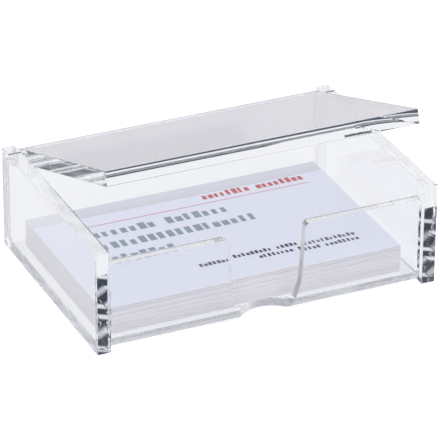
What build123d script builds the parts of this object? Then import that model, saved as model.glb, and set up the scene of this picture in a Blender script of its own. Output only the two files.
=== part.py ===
"""Desk box for business cards, in clear acrylic sheet, with a hinged lid and a thumb gap at the front.

Two flat cheeks stand on the desk and hold one bent sheet between them. The sheet is the front lips,
the base and the back of the box. The lid turns on two dowel pins in the cheeks' rear top corners and
is drawn as it stands open a little. A stack of cards lies on the base.

Millimetres. The origin is the middle of the underside, +X runs along the box's width, +Y to its back
and +Z up.
"""

import os
from math import sin

from build123d import *

# The cards that the box is made for
CARD_LENGTH = 85.6
CARD_WIDTH = 54.0
CARD_THICKNESS = 0.31
CARD_COUNT = 26
CARD_SHIFT = -0.8  # the stack lies a little left of the middle
CARD_JOG = 0.12  # cards lie uneven by up to this much
CARD_JOG_STEP = 2.4  # radians from one card's unevenness to the next one's

# Room around the cards
SIDE_ROOM = 3.2
FRONT_ROOM = 2.3
REAR_ROOM = 5.4

# Acrylic sheet
HEIGHT = 30.0
CHEEK_THICKNESS = 4.0
SHEET_THICKNESS = 2.4
LID_THICKNESS = 4.2
ARRIS = 0.12  # the edges of the plates are broken by this much
BOND_LINE = 0.05  # cement between the bent sheet and a cheek

# Bent sheet
LIP_INSET = 1.5  # from the cheeks' front edges back to the lips
FRONT_BEND_RADIUS = 0.3  # inside
REAR_BEND_RADIUS = 1.2  # inside

# Thumb gap between the lips, and the finger notch that it runs into in the base
GAP_MOUTH = 22.6
GAP_WAIST = 21.0
GAP_WAIST_HEIGHT = 8.0  # above the gap's sill
GAP_FOOT = 17.0
GAP_SILL = 0.5  # the sheet runs on across the gap to this height above its bend
GAP_CORNER_RADIUS = 1.5
NOTCH_WIDTH = 15.8
NOTCH_DEPTH = 5.2

# Lid and hinge
SEAT_CLEARANCE = 0.1  # between the closed lid and the lips
LID_SIDE_CLEARANCE = 0.5
LID_FRONT_SETBACK = 0.1
LID_REAR_SETBACK = 1.2
LID_CREST_RADIUS = 0.9  # along the rear edge's top, which stops the open lid on the back
LID_OPEN_ANGLE = 19.7
PIN_DIAMETER = 0.8
PIN_PRESS_FIT = 0.02  # radial, in the cheek
PIN_RUNNING_FIT = 0.05  # radial, in the lid
PIN_ENGAGEMENT = 4.0  # length of pin in the lid
PIN_END_PLAY = 0.3
PIN_RECESS = 0.1  # the pin's outer end lies this far inside the cheek's face

# Sizes that follow
INNER_WIDTH = CARD_LENGTH + 2 * SIDE_ROOM
OVERALL_WIDTH = INNER_WIDTH + 2 * CHEEK_THICKNESS
TRAY_WIDTH = INNER_WIDTH - 2 * BOND_LINE
TRAY_DEPTH = FRONT_ROOM + CARD_WIDTH + REAR_ROOM + 2 * SHEET_THICKNESS
DEPTH = LIP_INSET + TRAY_DEPTH
FRONT = -DEPTH / 2
REAR = DEPTH / 2
LIP_FRONT = FRONT + LIP_INSET
LIP_TOP = HEIGHT - LID_THICKNESS - SEAT_CLEARANCE
SILL_TOP = SHEET_THICKNESS + FRONT_BEND_RADIUS + GAP_SILL
LID_HALF = LID_THICKNESS / 2
LID_WIDTH = INNER_WIDTH - 2 * LID_SIDE_CLEARANCE
HINGE_Y = REAR - LID_REAR_SETBACK - LID_HALF
HINGE_Z = HEIGHT - LID_HALF
LID_REACH = HINGE_Y - FRONT - LID_FRONT_SETBACK
PIN_LENGTH = CHEEK_THICKNESS - PIN_RECESS + LID_SIDE_CLEARANCE + PIN_ENGAGEMENT
BORE_DEPTH = PIN_ENGAGEMENT + PIN_END_PLAY
CUT_MARGIN = SHEET_THICKNESS  # cutting shapes reach this far past the sheet
ALONG_X = Rot(Y=90)


def cheek(side: int) -> Part:
    """A flat side plate with its edges broken and a hole for the hinge pin."""
    plate = Box(CHEEK_THICKNESS, DEPTH, HEIGHT)
    plate = chamfer(plate.edges(), ARRIS)
    middle = side * (OVERALL_WIDTH - CHEEK_THICKNESS) / 2
    pin_hole = ALONG_X * Cylinder(PIN_DIAMETER / 2 + PIN_PRESS_FIT, 2 * CHEEK_THICKNESS)
    return Pos(middle, 0, HEIGHT / 2) * plate - Pos(middle, HINGE_Y, HINGE_Z) * pin_hole


def hinge_pin(side: int) -> Part:
    """A steel dowel with broken ends, pressed in a cheek and reaching into the lid."""
    dowel = ALONG_X * Cylinder(PIN_DIAMETER / 2, PIN_LENGTH)
    dowel = chamfer(dowel.edges().filter_by(GeomType.CIRCLE), ARRIS / 2)
    middle = side * (OVERALL_WIDTH / 2 - PIN_RECESS - PIN_LENGTH / 2)
    return Pos(middle, HINGE_Y, HINGE_Z) * dowel


def channel_section() -> Sketch:
    """The bent sheet's section, seen from the side: lip, base and back in one thickness."""
    outside = Pos(LIP_FRONT + TRAY_DEPTH / 2, LIP_TOP / 2) * Rectangle(TRAY_DEPTH, LIP_TOP)
    inside = Pos(LIP_FRONT + TRAY_DEPTH / 2, LIP_TOP / 2 + SHEET_THICKNESS) * Rectangle(
        TRAY_DEPTH - 2 * SHEET_THICKNESS, LIP_TOP
    )
    section = round_foot(outside, SHEET_THICKNESS) - round_foot(inside, 0)
    return Plane.YZ * section


def round_foot(rectangle: Sketch, added_radius: float) -> Sketch:
    """The rectangle with its two lower corners rounded as the sheet is bent there."""
    front_foot = rectangle.vertices().group_by(Axis.Y)[0].sort_by(Axis.X)[0]
    rounded = fillet(front_foot, FRONT_BEND_RADIUS + added_radius)
    rear_foot = rounded.vertices().group_by(Axis.Y)[0].sort_by(Axis.X)[-1]
    return fillet(rear_foot, REAR_BEND_RADIUS + added_radius)


def thumb_gap() -> Part:
    """What is cut out between the lips, down to the sill: flared sides that draw in at the foot."""
    mouth = GAP_MOUTH / 2
    waist = GAP_WAIST / 2
    foot = GAP_FOOT / 2
    height = LIP_TOP - SILL_TOP
    with BuildSketch(Plane.XZ) as outline:
        with BuildLine():
            right = Line((mouth, height), (waist, GAP_WAIST_HEIGHT))
            right_foot = TangentArc(right @ 1, (foot, 0), tangent=right % 1)
            left = Line((-mouth, height), (-waist, GAP_WAIST_HEIGHT))
            left_foot = TangentArc(left @ 1, (-foot, 0), tangent=left % 1)
            Line(left_foot @ 1, right_foot @ 1)
            Line(left @ 0, right @ 0)
        make_face()
    through_lip = extrude(outline.sketch, -SHEET_THICKNESS - 2 * CUT_MARGIN)
    return Pos(0, LIP_FRONT - CUT_MARGIN, SILL_TOP) * through_lip


def finger_notch() -> Part:
    """The round notch through the sill and the base's front edge, below the thumb gap."""
    half_chord = NOTCH_WIDTH / 2
    radius = (half_chord**2 + NOTCH_DEPTH**2) / (2 * NOTCH_DEPTH)
    centre = LIP_FRONT + NOTCH_DEPTH - radius
    return Pos(0, centre, 0) * Cylinder(radius, 2 * (SILL_TOP + CUT_MARGIN))


def tray() -> Part:
    """The bent sheet: two front lips with a thumb gap between them, the base and the back."""
    sheet = extrude(channel_section(), TRAY_WIDTH / 2, both=True)
    sheet = sheet - thumb_gap() - finger_notch()
    lip_ends = sheet.edges().filter_by(Axis.Y).group_by(Axis.Z)[-1]
    gap_corners = lip_ends.filter_by(lambda edge: abs(edge.center().X) < GAP_MOUTH)
    return fillet(gap_corners, GAP_CORNER_RADIUS)


def lid() -> Part:
    """A flat plate with a bore for a pin in each end; its rear edge is round below, about the hinge."""
    with BuildSketch(Plane.YZ) as section:
        with BuildLine():
            top = Line((-LID_REACH, LID_HALF), (LID_HALF - LID_CREST_RADIUS, LID_HALF))
            crest = TangentArc(top @ 1, (LID_HALF, LID_HALF - LID_CREST_RADIUS), tangent=top % 1)
            rear = Line(crest @ 1, (LID_HALF, 0))
            heel = TangentArc(rear @ 1, (0, -LID_HALF), tangent=rear % 1)
            Polyline(heel @ 1, (-LID_REACH, -LID_HALF), top @ 0)
        make_face()
    plate = extrude(section.sketch, LID_WIDTH / 2, both=True)
    end_edges = plate.faces().filter_by(Axis.X).edges()
    front_edges = plate.faces().sort_by(Axis.Y)[0].edges().filter_by(Axis.X)
    plate = chamfer(end_edges + front_edges, ARRIS)
    bore = ALONG_X * Cylinder(PIN_DIAMETER / 2 + PIN_RUNNING_FIT, 2 * BORE_DEPTH)
    for side in (-1, 1):
        plate -= Pos(side * LID_WIDTH / 2, 0, 0) * bore
    return Pos(0, HINGE_Y, HINGE_Z) * Rot(X=-LID_OPEN_ANGLE) * plate


def card(index: int) -> Part:
    """One card of the stack, a hair out of line with its neighbours."""
    jog_x = CARD_JOG * sin(CARD_JOG_STEP * index)
    jog_y = CARD_JOG * sin(CARD_JOG_STEP * index + 1)
    middle_y = LIP_FRONT + SHEET_THICKNESS + FRONT_ROOM + CARD_WIDTH / 2
    middle_z = SHEET_THICKNESS + (index + 0.5) * CARD_THICKNESS
    return Pos(CARD_SHIFT + jog_x, middle_y + jog_y, middle_z) * Box(CARD_LENGTH, CARD_WIDTH, CARD_THICKNESS)


PIECES = {
    "left_cheek": cheek(-1),
    "right_cheek": cheek(1),
    "tray": tray(),
    "lid": lid(),
    "left_hinge_pin": hinge_pin(-1),
    "right_hinge_pin": hinge_pin(1),
    "card_stack": Compound([card(index) for index in range(CARD_COUNT - 1)]),
    "top_card": card(CARD_COUNT - 1),
}

os.makedirs("parts", exist_ok=True)
for name, piece in PIECES.items():
    export_step(piece, f"parts/{name}.step")
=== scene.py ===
"""A clear acrylic card box on a pale desk: finishes, cards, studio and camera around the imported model.

Everything is in metres in the model's own frame: +X along the box's width, +Y to its back, +Z up.
"""

from __future__ import annotations

import logging
import math
import random
from dataclasses import dataclass, field
from enum import Enum
from typing import Any, Sequence

import bpy
from mathutils import Matrix, Vector

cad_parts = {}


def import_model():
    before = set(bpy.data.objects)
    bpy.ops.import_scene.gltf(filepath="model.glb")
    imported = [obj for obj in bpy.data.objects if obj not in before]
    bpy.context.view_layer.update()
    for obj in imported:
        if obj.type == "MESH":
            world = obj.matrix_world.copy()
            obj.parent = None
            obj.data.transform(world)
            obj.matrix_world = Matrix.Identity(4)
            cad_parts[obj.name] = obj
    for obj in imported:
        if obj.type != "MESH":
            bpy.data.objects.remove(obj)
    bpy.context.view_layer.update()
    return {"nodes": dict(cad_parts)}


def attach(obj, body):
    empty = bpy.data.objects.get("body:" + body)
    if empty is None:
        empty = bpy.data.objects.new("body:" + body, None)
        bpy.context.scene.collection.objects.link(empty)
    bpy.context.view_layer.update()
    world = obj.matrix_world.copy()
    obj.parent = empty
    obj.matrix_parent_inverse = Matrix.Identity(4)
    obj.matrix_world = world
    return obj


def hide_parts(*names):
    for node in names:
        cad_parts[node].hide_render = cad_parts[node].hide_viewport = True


LOG = logging.getLogger("card_box")
MM = 0.001

Colour = tuple[float, float, float]
Triple = tuple[float, float, float]
Span = tuple[float, float]

WHITE: Colour = (1.0, 1.0, 1.0)
X_AXIS: Triple = (1.0, 0.0, 0.0)
Z_AXIS: Triple = (0.0, 0.0, 1.0)


class Ray(Enum):
    """What Light Path tells of a ray, by the name of its output."""

    CAMERA = "Is Camera Ray"
    MIRRORED = "Is Glossy Ray"
    REFRACTED = "Is Transmission Ray"
    SCATTERED = "Diffuse Depth"
    TURNED = "Glossy Depth"


class Plate(Enum):
    """Which acrylic plate a finish is for."""

    CHEEK = "cheek"
    TRAY = "tray"
    LID = "lid"


class Shade:
    """A shader socket that takes part in Python arithmetic; each operation adds a Math node."""

    def __init__(self, graph: Graph, socket: bpy.types.NodeSocket | None) -> None:
        """Keeps the socket and the graph that it belongs to."""
        self.graph = graph
        self.socket = socket

    def _math(self, operation: str, *values: Shade | float) -> Shade:
        """One Math node on the given values."""
        return self.graph.node("ShaderNodeMath", {"operation": operation}, dict(enumerate(values)))

    def __add__(self, other: Shade | float) -> Shade:
        """Sum."""
        return self._math("ADD", self, other)

    __radd__ = __add__

    def __sub__(self, other: Shade | float) -> Shade:
        """Difference."""
        return self._math("SUBTRACT", self, other)

    def __rsub__(self, other: float) -> Shade:
        """Difference from a number."""
        return self._math("SUBTRACT", other, self)

    def __mul__(self, other: Shade | float) -> Shade:
        """Product."""
        return self._math("MULTIPLY", self, other)

    __rmul__ = __mul__

    def __truediv__(self, other: Shade | float) -> Shade:
        """Quotient."""
        return self._math("DIVIDE", self, other)

    def __rtruediv__(self, other: float) -> Shade:
        """A number divided by this."""
        return self._math("DIVIDE", other, self)

    def __gt__(self, other: Shade | float) -> Shade:
        """1 where this is greater, else 0."""
        return self._math("GREATER_THAN", self, other)

    def __lt__(self, other: Shade | float) -> Shade:
        """1 where this is less, else 0."""
        return self._math("LESS_THAN", self, other)

    def __or__(self, other: Shade | float) -> Shade:
        """The larger of two masks."""
        return self._math("MAXIMUM", self, other)

    __ror__ = __or__

    def __abs__(self) -> Shade:
        """Size without sign."""
        return self._math("ABSOLUTE", self)

    def floor(self) -> Shade:
        """Whole part."""
        return self._math("FLOOR", self)

    def fraction(self) -> Shade:
        """Part after the point."""
        return self._math("FRACT", self)

    def root(self) -> Shade:
        """Square root."""
        return self._math("SQRT", self)

    def ramp(self, low: float, high: float) -> Shade:
        """0 at low, 1 at high and smooth between."""
        sockets = {"Value": self, "From Min": low, "From Max": high}
        return self.graph.node("ShaderNodeMapRange", {"interpolation_type": "SMOOTHSTEP"}, sockets)

    def between(self, low: float, high: float) -> Shade:
        """1 from low to high, else 0."""
        return (self > low) * (self < high)

    def band(self, rise: Span, fall: Span) -> Shade:
        """1 from a soft rise to a soft fall, else 0."""
        return self.ramp(*rise) * (1 - self.ramp(*fall))


class Graph:
    """A node tree with one way to add a node."""

    def __init__(self, tree: bpy.types.NodeTree) -> None:
        """Takes a node tree over and empties it."""
        self.tree = tree
        tree.nodes.clear()

    def node(
        self,
        kind: str,
        settings: dict[str, Any] | None = None,
        sockets: dict[str | int, Any] | None = None,
        output: str | int = 0,
    ) -> Shade:
        """Adds a node.

        Args:
            kind: the node's type.
            settings: its properties, set first.
            sockets: values or links for its inputs, by name or number.
            output: the output that is wanted.

        Returns:
            The output as a Shade, without a socket where the node has none.
        """
        made = self.tree.nodes.new(kind)
        for name, value in (settings or {}).items():
            setattr(made, name, value)
        for name, value in (sockets or {}).items():
            if isinstance(value, Shade):
                self.tree.links.new(value.socket, made.inputs[name])
            else:
                made.inputs[name].default_value = value
        return Shade(self, made.outputs[output] if made.outputs else None)

    @staticmethod
    def paint(colour: Shade | Colour) -> Shade | tuple[float, ...]:
        """A colour as a socket takes it: a link, or red, green, blue and alpha."""
        return colour if isinstance(colour, Shade) else (*colour, 1.0)

    def split(self, vector: Shade) -> tuple[Shade, Shade, Shade]:
        """A vector's X, Y and Z."""
        parts = self.node("ShaderNodeSeparateXYZ", {}, {0: vector}).socket.node.outputs
        return Shade(self, parts[0]), Shade(self, parts[1]), Shade(self, parts[2])

    def place(self, kind: str = "Object") -> Shade:
        """Texture coordinates of the given kind."""
        return self.node("ShaderNodeTexCoord", output=kind)

    def along(self, vector: Shade, axis: Triple) -> Shade:
        """How far a vector points along an axis."""
        sockets = {0: vector, 1: axis}
        return self.node("ShaderNodeVectorMath", {"operation": "DOT_PRODUCT"}, sockets, output="Value")

    def ray(self, kind: Ray) -> Shade:
        """What Light Path says of the ray."""
        return self.node("ShaderNodeLightPath", output=kind.value)

    def mix(self, factor: Shade, low: Shade | Colour, high: Shade | Colour) -> Shade:
        """A colour between low and high."""
        sockets = {0: factor, 6: self.paint(low), 7: self.paint(high)}
        return self.node("ShaderNodeMix", {"data_type": "RGBA"}, sockets, output=2)

    def scaled(self, colour: Shade, factor: Shade) -> Shade:
        """A colour times a factor."""
        return self.node("ShaderNodeVectorMath", {"operation": "SCALE"}, {0: colour, "Scale": factor})

    def noise(
        self, vector: Shade, scale: float, detail: float = 2.0, stretch: Triple = (1.0, 1.0, 1.0)
    ) -> Shade:
        """Noise from 0 to 1, drawn out along the axes where stretch is small."""
        placed = self.node("ShaderNodeMapping", {}, {"Vector": vector, "Scale": stretch})
        return self.node("ShaderNodeTexNoise", {}, {"Vector": placed, "Scale": scale, "Detail": detail})

    def dice(self, value: Shade) -> Shade:
        """A number from 0 to 1 that looks drawn at random, the same for the same value."""
        return self.node("ShaderNodeTexWhiteNoise", {"noise_dimensions": "1D"}, {"W": value})

    def wave(self, vector: Shade, length: float, distortion: float, direction: Triple) -> Shade:
        """Sine bands that follow each other in a direction.

        Args:
            vector: the place.
            length: from one band to the next; Blender's own bands are pi / 10 apart.
            distortion: how uneven the bands are.
            direction: the way that the bands follow each other.

        Returns:
            The wave, from 0 to 1.
        """
        path = self.along(vector, direction)
        placed = self.node("ShaderNodeCombineXYZ", {}, {0: path})
        scale = math.pi / (10 * length)
        sockets = {"Vector": placed, "Scale": scale, "Distortion": distortion, "Detail": 0.0}
        return self.node("ShaderNodeTexWave", {"bands_direction": "X"}, sockets, output=1)

    def bump(self, height: Shade) -> Shade:
        """A normal bent by a height in metres."""
        return self.node("ShaderNodeBump", {}, {"Height": height, "Distance": 1.0, "Strength": 1.0})

    def diffuse(self, colour: Colour) -> Shade:
        """A matt surface of one colour."""
        return self.node("ShaderNodeBsdfDiffuse", {}, {"Color": self.paint(colour)})

    def emission(self, colour: Shade | Colour, strength: float = 1.0) -> Shade:
        """Light of a colour."""
        return self.node("ShaderNodeEmission", {}, {"Color": self.paint(colour), "Strength": strength})

    def blend(self, factor: Shade, first: Shade, second: Shade) -> Shade:
        """A Mix Shader."""
        return self.node("ShaderNodeMixShader", {}, {0: factor, 1: first, 2: second})

    def finish(self, shader: Shade) -> None:
        """Leads the shader to the output of a material or a world."""
        owner = "World" if isinstance(self.tree.id_data, bpy.types.World) else "Material"
        self.node(f"ShaderNodeOutput{owner}", {}, {"Surface": shader})


class Surface:
    """The point of a surface that a material is worked out for: where it lies and how it faces."""

    def __init__(self, graph: Graph) -> None:
        """Reads the point's place on its piece and its normal.

        Args:
            graph: the material's node tree.
        """
        self.graph = graph
        self.place = graph.place()
        self.normal = graph.place("Normal")
        self.x, self.y, self.z = graph.split(self.place)

    def towards(self, axis: Triple) -> Shade:
        """How squarely the surface faces along an axis."""
        return self.graph.along(self.normal, axis)

    def across(self, axis: Triple) -> Shade:
        """How squarely the surface lies across an axis, whichever way it faces."""
        return abs(self.towards(axis))


def new_graph(name: str) -> tuple[bpy.types.Material, Graph]:
    """Starts a material.

    Args:
        name: the material's name.

    Returns:
        The material and its empty node tree.
    """
    material = bpy.data.materials.new(name)
    material.use_nodes = True
    return material, Graph(material.node_tree)


def shaded(colour: Colour, share: float) -> Colour:
    """A colour times a number."""
    return share * colour[0], share * colour[1], share * colour[2]


@dataclass(frozen=True)
class PlateSizes:
    """Where the box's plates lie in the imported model, and how near a face counts as on it."""

    sheet: float = 2.4 * MM
    lip_front: float = -32.5 * MM
    lip_top: float = 25.7 * MM
    rear: float = 34.0 * MM
    inner_half: float = 46.0 * MM
    gap_reach: float = 13.0 * MM
    hinge_y: float = 30.7 * MM
    hinge_z: float = 27.9 * MM
    lid_angle: float = math.radians(19.7)
    skin: float = 0.05 * MM
    margin: float = 0.2 * MM


@dataclass(frozen=True)
class ClearAcrylic:
    """Clear acrylic sheet with flame-polished edges, cemented where the tray meets the cheeks."""

    plate: Plate
    sizes: PlateSizes
    tint: Colour = (0.97, 0.977, 0.99)
    # Painted shade: a darker colour on the inner top edge of the tray's lips
    rim_painted_shade: Colour = (0.50, 0.50, 0.53)
    rim_width: float = 0.7 * MM
    index: float = 1.49
    bow: float = 0.004 * MM
    bow_scale: float = 40.0
    scuff: float = 0.05
    scuff_scale: float = 120.0
    scuff_detail: float = 4.0
    scuff_stretch: Triple = (1.0, 5.0, 5.0)
    scuff_onset: Span = (0.52, 0.75)
    saw_wave: float = 0.15 * MM
    saw_pitch: float = 12.0 * MM
    saw_unevenness: float = 2.0
    saw_direction: Triple = (1.1, 1.0, 0.0)
    end_round: float = 7.0
    edge_on: Span = (0.8, 0.95)
    cut_roughness: float = 0.4
    cut_side: Span = (0.3, 0.6)
    underside_wear: float = 0.3
    square: float = 0.95
    void_scale: float = 420.0
    void_onset: Span = (0.60, 0.64)
    haze: Colour = (0.9, 0.9, 0.92)
    patch_scale: float = 130.0
    patch_onset: Span = (0.40, 0.60)
    patch_haze: float = 0.55
    base_haze: float = 0.3
    back_haze: float = 0.95
    back_haze_loss: float = 0.7  # how much less of it there is on the right
    foot_haze: float = 0.22
    arris_haze: float = 0.8
    arris_tilt: Span = (0.3, 0.95)

    def saw_relief(self, spot: Surface) -> Shade:
        """The wave that cutting left under a cheek.

        Args:
            spot: a point of the cheek.

        Returns:
            The height there.
        """
        edge = (spot.z < self.sizes.margin) * spot.across(Z_AXIS).ramp(*self.edge_on)
        wave = spot.graph.wave(spot.place, self.saw_pitch, self.saw_unevenness, self.saw_direction)
        return edge * wave * self.saw_wave

    def end_relief(self, spot: Surface) -> Shade:
        """The slight rounding that polishing left on the lid's right end.

        Args:
            spot: a point of the lid.

        Returns:
            The height there, which falls away from the middle of the lid's thickness.
        """
        size = self.sizes
        upward = (0.0, math.sin(size.lid_angle), math.cos(size.lid_angle))
        middle = size.hinge_y * upward[1] + size.hinge_z * upward[2]
        level = spot.graph.along(spot.place, upward) - middle
        edge = spot.across(X_AXIS).ramp(*self.edge_on) * (spot.x > size.inner_half - size.sheet)
        return 0 - edge * level * level * self.end_round

    def matt(self, spot: Surface) -> Shade:
        """Where the tray isn't polished: the thumb gap's sides, the back's top and the scuffed underside.

        Args:
            spot: a point of the tray.

        Returns:
            1 where it is left as cut, less on the underside, else 0.
        """
        size = self.sizes
        gap_side = (abs(spot.x) < size.gap_reach) * spot.across(X_AXIS).ramp(*self.cut_side) * (spot.y < 0)
        back_top = (spot.y > size.rear - size.sheet) * (spot.z > size.lip_top - 2 * size.skin)
        underside = (spot.z < size.skin) * self.underside_wear
        return gap_side | back_top | underside

    def rim(self, spot: Surface) -> Shade:
        """The inner side of the lips' tops, where a darker colour is painted along the edge as shade.

        Args:
            spot: a point of the tray.

        Returns:
            1 on the rim, else 0.
        """
        size = self.sizes
        inner_face = size.lip_front + size.sheet
        inner = spot.y.between(inner_face - self.rim_width, inner_face)
        return (spot.z > size.lip_top - size.skin) * inner

    def bond(self, spot: Surface) -> Shade:
        """Where cement joins the plate to its neighbour, so that light goes straight through.

        Args:
            spot: a point of a cheek or of the tray.

        Returns:
            1 on the joint, else 0, also in the small voids of the front joints.
        """
        size = self.sizes
        lip = spot.y.between(size.lip_front, size.lip_front + size.sheet)
        back = spot.y > size.rear - size.sheet
        section = (lip | back) * (spot.z < size.lip_top)
        facing = spot.across(X_AXIS) > self.square
        near = abs(spot.x).between(size.inner_half - size.margin, size.inner_half + size.margin)
        specks = spot.graph.noise(spot.place, self.void_scale).ramp(*self.void_onset)
        voids = specks * (spot.y < 0) * (spot.z > size.sheet)
        return section * facing * near * (1 - voids)

    def weld(self, spot: Surface) -> Shade:
        """How hazy the cement has dried: along the back's ends evenly, along the base's in patches.

        Args:
            spot: a point of the tray.

        Returns:
            The share of haze.
        """
        size = self.sizes
        back = spot.y.between(size.rear - size.sheet + size.margin, size.rear - size.margin)
        specks = spot.graph.noise(spot.place, self.patch_scale).ramp(*self.patch_onset)
        patches = specks * (spot.z < size.sheet - size.margin)
        facing = (spot.across(X_AXIS) > self.square) * (abs(spot.x) > size.inner_half - size.margin)
        back_share = self.back_haze - (spot.x > 0) * self.back_haze_loss
        base_share = patches * self.patch_haze + (spot.z < size.sheet) * self.base_haze
        return facing * (spot.z > size.margin) * (back * (spot.z < size.lip_top) * back_share | base_share)

    def foot(self, spot: Surface) -> Shade:
        """1 in the tray's front bend, which bending has left a little cloudy."""
        return (spot.z < self.sizes.sheet) * (spot.y < self.sizes.lip_front + self.sizes.sheet)

    def arris(self, spot: Surface) -> Shade:
        """1 on a cheek's broken edges, which catch the light."""
        return spot.across(X_AXIS).between(*self.arris_tilt) * (spot.z > self.sizes.sheet)

    def polished(self, spot: Surface) -> Shade:
        """The plate before it is cemented: clear, with its scuffs, its relief, what is left unpolished and
        the painted shade along the tray lips' inner top edge.

        Args:
            spot: a point of the plate.

        Returns:
            The shader.
        """
        graph = spot.graph
        base: Shade | Colour = self.tint
        scuffs = graph.noise(spot.place, self.scuff_scale, self.scuff_detail, self.scuff_stretch)
        roughness = scuffs.ramp(*self.scuff_onset) * self.scuff
        height = graph.noise(spot.place, self.bow_scale) * self.bow
        if self.plate is Plate.CHEEK:
            height = height + self.saw_relief(spot)
        elif self.plate is Plate.LID:
            height = height + self.end_relief(spot)
        else:
            # Painted shade along the inner top edge of the lips
            base = graph.mix(self.rim(spot), self.tint, self.rim_painted_shade)
            roughness = roughness | self.matt(spot) * self.cut_roughness
        sockets = {
            "Base Color": graph.paint(base),
            "Transmission Weight": 1.0,
            "IOR": self.index,
            "Roughness": roughness,
            "Normal": graph.bump(height),
        }
        return graph.node("ShaderNodeBsdfPrincipled", {}, sockets)

    def material(self) -> bpy.types.Material:
        """Makes the finish.

        Returns:
            The material.
        """
        made, graph = new_graph(f"{self.plate.value}_acrylic")
        spot = Surface(graph)
        shader = self.polished(spot)
        if self.plate is not Plate.LID:
            clear = graph.node("ShaderNodeBsdfTransparent", {}, {"Color": graph.paint(WHITE)})
            haze = graph.diffuse(self.haze)
            if self.plate is Plate.CHEEK:
                shader = graph.blend(self.arris(spot) * self.arris_haze, shader, haze)
            else:
                shader = graph.blend(self.foot(spot) * self.foot_haze, shader, haze)
            shader = graph.blend(self.bond(spot), shader, clear)
            if self.plate is Plate.TRAY:
                shader = graph.blend(self.weld(spot), shader, haze)
        graph.finish(shader)
        return made


@dataclass(frozen=True)
class DowelSteel:
    """Ground steel rod with fine lines round it."""

    name: str = "dowel_steel"
    colour: Colour = (0.15, 0.155, 0.17)
    line_scale: float = 900.0
    line_detail: float = 3.0
    line_stretch: Triple = (8.0, 1.0, 1.0)
    line_depth: float = 0.002 * MM
    roughness: float = 0.2
    roughness_range: float = 0.2

    def material(self) -> bpy.types.Material:
        """Makes the finish.

        Returns:
            The material.
        """
        made, graph = new_graph(self.name)
        lines = graph.noise(graph.place(), self.line_scale, self.line_detail, self.line_stretch)
        sockets = {
            "Base Color": graph.paint(self.colour),
            "Metallic": 1.0,
            "Roughness": lines * self.roughness_range + self.roughness,
            "Normal": graph.bump(lines * self.line_depth),
        }
        graph.finish(graph.node("ShaderNodeBsdfPrincipled", {}, sockets))
        return made


@dataclass(frozen=True)
class CardStock:
    """Matt white card: faint fibre on its faces, and each card's cut edge a tone of its own, spread wide
    so that the darker edges also paint shade in the gaps between cards.
    """

    name: str = "card_stock"
    face: Colour = (0.665, 0.685, 0.775)
    face_shades: Span = (0.97, 1.02)
    fibre_scale: float = 1400.0
    cut: Colour = (0.75, 0.72, 0.745)
    # Tone that differs from card to card, widened so that darker cut edges paint the shade of the gaps
    cut_tones_and_gap_shade: Span = (0.86, 1.03)
    layer_stretch: Triple = (6.0, 6.0, 3300.0)
    layer_onset: Span = (0.34, 0.52)
    detail: float = 3.0
    side_tilt: Span = (0.4, 0.8)
    tooth_scale: float = 2600.0
    tooth_depth: float = 0.004 * MM
    roughness: float = 0.55
    roughness_range: float = 0.2

    def bare(self, spot: Surface) -> Shade:
        """The card's colour before it is printed.

        Args:
            spot: a point of the card.

        Returns:
            The colour there.
        """
        graph = spot.graph
        dark, light = (shaded(self.face, share) for share in self.face_shades)
        fibre = graph.noise(spot.place, self.fibre_scale, self.detail)
        face = graph.mix(fibre, dark, light)
        # Cut edges: tone from card to card, its darker cards painting the shade between cards
        dark, light = (shaded(self.cut, share) for share in self.cut_tones_and_gap_shade)
        layer = graph.noise(spot.place, 1.0, self.detail, self.layer_stretch).ramp(*self.layer_onset)
        cut = graph.mix(layer, dark, light)
        side = 1 - spot.across(Z_AXIS).ramp(*self.side_tilt)
        return graph.mix(side, face, cut)

    def colour(self, spot: Surface) -> Shade:
        """The card's colour with what is printed on it; nothing here."""
        return self.bare(spot)

    def material(self) -> bpy.types.Material:
        """Makes the finish.

        Returns:
            The material.
        """
        made, graph = new_graph(self.name)
        spot = Surface(graph)
        tooth = graph.noise(spot.place, self.tooth_scale)
        sockets = {
            "Base Color": self.colour(spot),
            "Roughness": tooth * self.roughness_range + self.roughness,
            "Normal": graph.bump(tooth * self.tooth_depth),
        }
        graph.finish(graph.node("ShaderNodeBsdfPrincipled", {}, sockets))
        return made


@dataclass(frozen=True)
class Row:
    """A printed row, in millimetres on the card.

    Its runs are the stretches that it covers, and its pitch is the distance from one block to the next.
    A row without a pitch is unbroken.
    """

    foot: float
    top: float
    runs: tuple[Span, ...]
    pitch: float = 0.0


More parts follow.
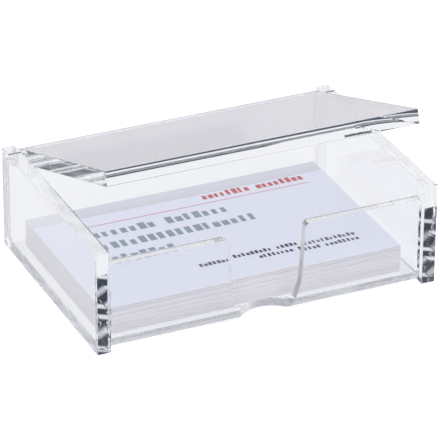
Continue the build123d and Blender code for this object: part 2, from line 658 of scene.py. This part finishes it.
@dataclass(frozen=True)
class PrintedStock(CardStock):
    """Card stock with a plain printed layout of a rule and rows of blocks, and a grey strip along its rear
    edge that is darker towards its front and ends there in a darker line.
    """

    name: str = "printed_card_stock"
    printed_face: float = 0.7
    # A grey strip along the rear edge, darker towards its front, with a darker line at its front edge
    strip_near: Colour = (0.60, 0.60, 0.65)
    strip_far: Colour = (0.65, 0.65, 0.71)
    strip_line: Colour = (0.50, 0.50, 0.55)
    strip_foot: float = 21.0 * MM
    strip_head: float = 26.2 * MM
    strip_edge: float = 0.25 * MM
    rule_red: Colour = (0.55, 0.22, 0.25)
    rule: Row = Row(15.1, 15.45, ((-32.3, 35.1),))
    red: Colour = (0.50, 0.13, 0.14)
    red_row: Row = Row(17.4, 20.3, ((3.7, 18.0), (20.35, 34.6)), 1.85)
    slate: Colour = (0.25, 0.30, 0.36)
    slate_rows: tuple[Row, ...] = (
        Row(8.5, 12.2, ((-33.0, -14.2), (-11.0, 7.5)), 2.75),
        Row(1.3, 5.0, ((-33.0, 12.8),), 2.75),
        Row(-6.0, -2.3, ((-33.0, -14.2),), 2.75),
    )
    navy: Colour = (0.06, 0.065, 0.105)
    navy_rows: tuple[Row, ...] = (
        Row(-17.0, -15.2, ((-13.0, -4.2), (-2.6, 8.8), (10.4, 16.6), (18.2, 33.5)), 1.3),
        Row(-19.9, -18.1, ((3.9, 14.1), (15.6, 21.9), (23.4, 33.5)), 1.3),
    )
    low_block: float = 0.76
    narrow_block: float = 0.46
    block_range: float = 0.36
    first_block: float = 100.0  # keeps the blocks' numbers above zero

    def blocks(self, spot: Surface, row: Row, covered: Shade) -> Shade:
        """Breaks a row into blocks of uneven width and height.

        Args:
            spot: a point of the card.
            row: the row.
            covered: a mask of the row's runs.

        Returns:
            A mask of the row's blocks.
        """
        graph = spot.graph
        step = spot.x / (row.pitch * MM) + self.first_block
        number = step.floor() + row.foot
        tall = graph.dice(number + 0.5) > 0.5
        height = tall * (1 - self.low_block) + self.low_block
        width = graph.dice(number) * self.block_range + self.narrow_block
        covered = covered * (step.fraction() < width)
        return covered * (spot.y < height * ((row.top - row.foot) * MM) + row.foot * MM)

    def rows(self, spot: Surface, rows: Sequence[Row]) -> Shade:
        """Puts rows together.

        Args:
            spot: a point of the card.
            rows: the rows, all of one ink.

        Returns:
            A mask of all that is printed in them.
        """
        mask: Shade | None = None
        for row in rows:
            runs: Shade | None = None
            for start, end in row.runs:
                run = spot.x.between(start * MM, end * MM)
                runs = run if runs is None else runs | run
            covered = spot.y.between(row.foot * MM, row.top * MM) * runs
            if row.pitch:
                covered = self.blocks(spot, row, covered)
            mask = covered if mask is None else mask | covered
        return mask

    def colour(self, spot: Surface) -> Shade:
        """The card's colour with the printed layout and the grey strip on its upper face.

        Args:
            spot: a point of the card.

        Returns:
            The colour there.
        """
        graph = spot.graph
        face = spot.towards(Z_AXIS) > self.printed_face
        # The grey strip along the rear edge, then its darker front line
        tone = graph.mix(spot.y.ramp(self.strip_foot, self.strip_head), self.strip_near, self.strip_far)
        colour = graph.mix((spot.y > self.strip_foot) * face, self.bare(spot), tone)
        line = spot.y.between(self.strip_foot - self.strip_edge, self.strip_foot)
        colour = graph.mix(line * face, colour, self.strip_line)
        for rows, ink in (
            ((self.rule,), self.rule_red),
            ((self.red_row,), self.red),
            (self.slate_rows, self.slate),
            (self.navy_rows, self.navy),
        ):
            colour = graph.mix(self.rows(spot, rows) * face, colour, ink)
        return colour


@dataclass
class AcrylicBox:
    """The carried-over plates and pins: their sizes and their finishes."""

    sizes: PlateSizes = PlateSizes()

    def dress(self, nodes: dict[str, bpy.types.Object]) -> list[bpy.types.Object]:
        """Gives each carried-over node its finish.

        Args:
            nodes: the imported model's nodes by name.

        Returns:
            The dressed pieces.
        """
        cheek = ClearAcrylic(Plate.CHEEK, self.sizes).material()
        steel = DowelSteel().material()
        finishes = {
            "left_cheek": cheek,
            "right_cheek": cheek,
            "tray": ClearAcrylic(Plate.TRAY, self.sizes).material(),
            "lid": ClearAcrylic(Plate.LID, self.sizes).material(),
            "left_hinge_pin": steel,
            "right_hinge_pin": steel,
        }
        for name, material in finishes.items():
            nodes[name].data.materials.clear()
            nodes[name].data.materials.append(material)
        return [nodes[name] for name in finishes]


@dataclass
class CardPile:
    """The stack of cards: flat cards with a slight curl, a hair out of line, the top one printed."""

    length: float = 85.6 * MM
    width: float = 54.0 * MM
    pitch: float = 0.303 * MM
    thickness: float = 0.298 * MM
    count: int = 26
    middle: Vector = field(default_factory=lambda: Vector((-0.8, -0.8, 2.44)) * MM)
    jog: float = 0.10 * MM
    turn: float = 0.0012
    # From which card on the curl grows, and by how many millimetres
    curls: tuple[tuple[int, float], ...] = ((8, 0.03), (17, 0.07), (22, 0.05), (25, 0.03))
    # How the curl is shared between the card's length and its width
    curl_shares: Span = (0.35, 0.65)
    cells: tuple[int, int] = (14, 10)
    arris: float = 0.03 * MM
    seed: int = 7

    def blank(self) -> bpy.types.Object:
        """Models one card, flat at the origin, with its edges broken.

        Returns:
            The card.
        """
        columns, rows = self.cells
        bpy.ops.object.select_all(action="DESELECT")
        bpy.ops.mesh.primitive_grid_add(x_subdivisions=columns, y_subdivisions=rows, size=1.0)
        card = bpy.context.object
        card.scale = (self.length, self.width, 1.0)
        bpy.ops.object.transform_apply(location=False, rotation=False, scale=True)
        bpy.ops.object.mode_set(mode="EDIT")
        bpy.ops.mesh.select_all(action="SELECT")
        bpy.ops.mesh.extrude_region_move(TRANSFORM_OT_translate={"value": (0.0, 0.0, self.thickness)})
        bpy.ops.mesh.select_all(action="SELECT")
        bpy.ops.mesh.normals_make_consistent(inside=False)
        bpy.ops.object.mode_set(mode="OBJECT")
        bevel = card.modifiers.new("broken_edge", "BEVEL")
        bevel.width = self.arris
        bevel.segments = 1
        bevel.limit_method = "ANGLE"
        bpy.ops.object.modifier_apply(modifier=bevel.name)
        return card

    def lay(self, card: bpy.types.Object, index: int, draw: random.Random) -> None:
        """Moves a card's points to its place in the stack.

        Args:
            card: the card at the origin.
            index: its number from the bottom.
            draw: where its unevenness comes from.
        """
        curl = sum(lift for start, lift in self.curls if index >= start) * MM
        shift = Vector((draw.uniform(-1, 1), draw.uniform(-1, 1), 0.0)) * self.jog
        turn = Matrix.Rotation(draw.uniform(-1, 1) * self.turn, 3, "Z")
        base = self.middle + shift + Vector((0.0, 0.0, index * self.pitch))
        along_length, along_width = self.curl_shares
        for vertex in card.data.vertices:
            u = 2 * vertex.co.x / self.length
            v = 2 * vertex.co.y / self.width
            rise = curl * (along_length * u * u + along_width * v * v)
            vertex.co = turn @ vertex.co + base + Vector((0.0, 0.0, rise))

    def build(self) -> tuple[bpy.types.Object, bpy.types.Object]:
        """Models the stack.

        Returns:
            The cards below, joined, and the top card.
        """
        draw = random.Random(self.seed)
        first = self.blank()
        cards = []
        for index in range(self.count):
            card = first.copy()
            card.data = first.data.copy()
            bpy.context.scene.collection.objects.link(card)
            self.lay(card, index, draw)
            cards.append(card)
        bpy.data.objects.remove(first)
        bpy.ops.object.select_all(action="DESELECT")
        for card in cards[:-1]:
            card.select_set(True)
        bpy.context.view_layer.objects.active = cards[0]
        bpy.ops.object.join()
        pile = cards[0]
        pile.name = "loose_cards"
        top = cards[-1]
        top.name = "printed_card"
        return pile, top

    def dress(self) -> list[bpy.types.Object]:
        """Builds the stack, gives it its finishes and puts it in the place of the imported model's cards.

        Returns:
            The dressed pieces.
        """
        pile, top = self.build()
        for piece, finish, node, slot in (
            (pile, CardStock(), "card_stack", "card"),
            (top, PrintedStock(), "top_card", "printed_card"),
        ):
            piece.data.materials.append(finish.material())
            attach(piece, "box")
            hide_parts(node)
        return [pile, top]


@dataclass
class Studio:
    """Camera, floor, world and lamp."""

    # The camera, with its angles in degrees
    azimuth: float = -24.5
    elevation: float = 28.08
    roll: float = 0.328
    distance: float = 950.3 * MM
    target: Vector = field(default_factory=lambda: Vector((0.77, 0.0, 13.06)) * MM)
    lens: float = 282.4
    sensor: float = 36.0
    near_clip: float = 10.0 * MM

    # The floor, and what mirrors and clear edges show of it
    floor_size: float = 8.0
    floor_drop: float = 0.08 * MM
    floor_matt: Colour = (0.90, 0.90, 0.91)
    floor_lift: float = 0.28
    near_floor: Colour = (0.95, 0.95, 0.96)
    far_floor: Colour = (0.85, 0.82, 0.87)
    floor_fade: Span = (0.10, 0.20)
    clear_floor: Colour = (0.925, 0.93, 0.95)
    dusk: Colour = (0.07, 0.085, 0.12)
    dusk_fade: Span = (0.11, 0.14)
    # A painted shadow of the box on the floor behind it, seen only through clear edges
    shadow_strip_rise: Span = (0.036, 0.042)
    shadow_strip_fall: Span = (0.071, 0.077)
    shadow_strip_ends: Span = (-0.030, 0.038)

    # The world, and the room that clear edges show; heights are those of a direction, from 0 to 1
    sky: Colour = (1.0, 1.0, 1.02)
    behind: Colour = (0.010, 0.022, 0.042)
    ahead: Colour = (0.018, 0.032, 0.055)
    beside: Colour = (0.62, 0.64, 0.69)
    glow: Colour = (0.72, 0.75, 0.82)
    low_glow: tuple[Span, Span] = ((0.20, 0.24), (0.28, 0.32))
    high_glow: tuple[Span, Span] = ((0.46, 0.62), (0.66, 0.71))
    fore_glow: Span = (0.54, 0.60)
    room_height: tuple[Span, Span] = ((0.02, 0.1), (0.75, 0.9))
    wall_slant: float = 0.8
    wall_edge: Span = (-0.05, 0.12)
    light_right: float = 0.30
    light_front: float = 0.16

    # The lamp and the light's paths
    key_size: float = 0.5
    key_energy: float = 1.5
    key_place: Triple = (0.0, 0.40, 0.95)
    bounces: int = 40
    clear_bounces: int = 32

    def camera(self) -> None:
        """Stands the camera where the photograph was taken from."""
        azimuth, elevation, roll = (math.radians(v) for v in (self.azimuth, self.elevation, self.roll))
        level_x = math.sin(azimuth) * math.cos(elevation)
        level_y = -math.cos(azimuth) * math.cos(elevation)
        back = Vector((level_x, level_y, math.sin(elevation)))
        level = (-back).cross(Vector(Z_AXIS)).normalized()
        upright = level.cross(-back)
        right = level * math.cos(roll) + upright * math.sin(roll)
        up = upright * math.cos(roll) - level * math.sin(roll)
        data = bpy.data.cameras.new("camera")
        data.lens = self.lens
        data.sensor_width = self.sensor
        data.clip_start = self.near_clip
        camera = bpy.data.objects.new("camera", data)
        turn = Matrix((right, up, back)).transposed().to_4x4()
        camera.matrix_world = Matrix.Translation(self.target + back * self.distance) @ turn
        bpy.context.scene.collection.objects.link(camera)
        bpy.context.scene.camera = camera

    def floor_shader(self, graph: Graph) -> Shade:
        """A pale floor; clear edges show it dark far off, and dark in a strip behind the box, a painted
        shadow of the box.

        Args:
            graph: the floor's node tree.

        Returns:
            The shader.
        """
        x, y, _ = graph.split(graph.place())
        distance = (x * x + y * y).root()
        unscattered = graph.ray(Ray.SCATTERED) < 0.5
        mirrored = graph.ray(Ray.MIRRORED) * unscattered
        refracted = graph.ray(Ray.REFRACTED) * unscattered
        matt = graph.diffuse(self.floor_matt)
        seen = graph.node("ShaderNodeAddShader", {}, {0: matt, 1: graph.emission(WHITE, self.floor_lift)})
        grey = graph.emission(graph.mix(distance.ramp(*self.floor_fade), self.near_floor, self.far_floor))
        turned_once = graph.ray(Ray.TURNED) > 0.5
        turned_twice = graph.ray(Ray.TURNED) > 1.5
        far = abs(y).ramp(*self.dusk_fade) * turned_once
        # Painted shadow of the box behind it, for light turned twice inside a sheet
        strip = y.band(self.shadow_strip_rise, self.shadow_strip_fall) * x.between(*self.shadow_strip_ends) * turned_twice
        through = graph.mix(far, self.clear_floor, self.dusk)
        through = graph.emission(graph.mix(strip, through, self.ahead))
        shader = graph.blend(graph.ray(Ray.CAMERA), matt, seen)
        shader = graph.blend(mirrored, shader, grey)
        return graph.blend(refracted, shader, through)

    def floor(self) -> None:
        """Lays a wide floor just below the box."""
        bpy.ops.object.select_all(action="DESELECT")
        bpy.ops.mesh.primitive_plane_add(size=self.floor_size, location=(0, 0, -self.floor_drop))
        floor = bpy.context.object
        floor.name = "floor"
        made, graph = new_graph("floor")
        graph.finish(self.floor_shader(graph))
        floor.data.materials.append(made)

    def room(self, graph: Graph, x: Shade, y: Shade, z: Shade) -> Shade:
        """The room as clear edges show it: dark before and behind, lighter beside, with two glows.

        Args:
            graph: the world's node tree.
            x: how far the direction points to the right.
            y: how far it points to the back.
            z: how far it points up.

        Returns:
            The colour in that direction.
        """
        slant = abs(x) * self.wall_slant
        rear = (y - slant).ramp(*self.wall_edge)
        front = (0 - y - slant).ramp(*self.wall_edge)
        back = graph.mix(z.band(*self.low_glow) | z.band(*self.high_glow), self.behind, self.glow)
        fore = graph.mix(z.ramp(*self.fore_glow), self.ahead, self.glow)
        return graph.mix(front, graph.mix(rear, self.beside, back), fore)

    def world(self) -> None:
        """Gives even light from all round, a little more from the right and the front."""
        world = bpy.data.worlds.new("studio")
        bpy.context.scene.world = world
        world.use_nodes = True
        graph = Graph(world.node_tree)
        x, y, z = graph.split(graph.place("Generated"))
        unscattered = graph.ray(Ray.SCATTERED) < 0.5
        turned_once = graph.ray(Ray.TURNED) > 0.5
        shown = graph.ray(Ray.REFRACTED) * unscattered * turned_once * z.band(*self.room_height)
        colour = graph.mix(shown, self.sky, self.room(graph, x, y, z))
        colour = graph.mix(graph.ray(Ray.CAMERA), colour, WHITE)
        level = 1 + (1 - unscattered) * (x * self.light_right - y * self.light_front)
        sockets = {"Color": graph.scaled(colour, level), "Strength": 1.0}
        graph.finish(graph.node("ShaderNodeBackground", {}, sockets))

    def key_lamp(self) -> None:
        """Hangs a soft lamp above and behind, turned to the box."""
        data = bpy.data.lights.new("key", "AREA")
        data.shape = "DISK"
        data.size = self.key_size
        data.energy = self.key_energy
        key = bpy.data.objects.new("key", data)
        key.location = self.key_place
        key.rotation_euler = Vector(self.key_place).to_track_quat("Z", "Y").to_euler()
        bpy.context.scene.collection.objects.link(key)

    def light_paths(self) -> None:
        """Allows enough bounces for light that runs along inside a sheet."""
        cycles = bpy.context.scene.cycles
        cycles.blur_glossy = 0.0
        cycles.max_bounces = self.bounces
        cycles.glossy_bounces = self.clear_bounces
        cycles.transmission_bounces = self.clear_bounces
        cycles.transparent_max_bounces = self.clear_bounces

    def set_up(self) -> None:
        """Builds the whole studio."""
        self.camera()
        self.floor()
        self.world()
        self.key_lamp()
        self.light_paths()
        bpy.context.scene.view_settings.view_transform = "Standard"


def main(frame: dict[str, Any]) -> None:
    """Builds the scene.
    """
    for assembly in (AcrylicBox().dress(frame["nodes"]), CardPile().dress()):
        for piece in assembly:
            finish = piece.data.materials[0].name
            LOG.info("%s: %d faces, %s", piece.name, len(piece.data.polygons), finish)
    Studio().set_up()
    LOG.info("studio: camera, floor, world and key lamp")


if __name__ == "__main__":
    logging.basicConfig(level=logging.INFO)
    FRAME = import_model()
    main(FRAME)
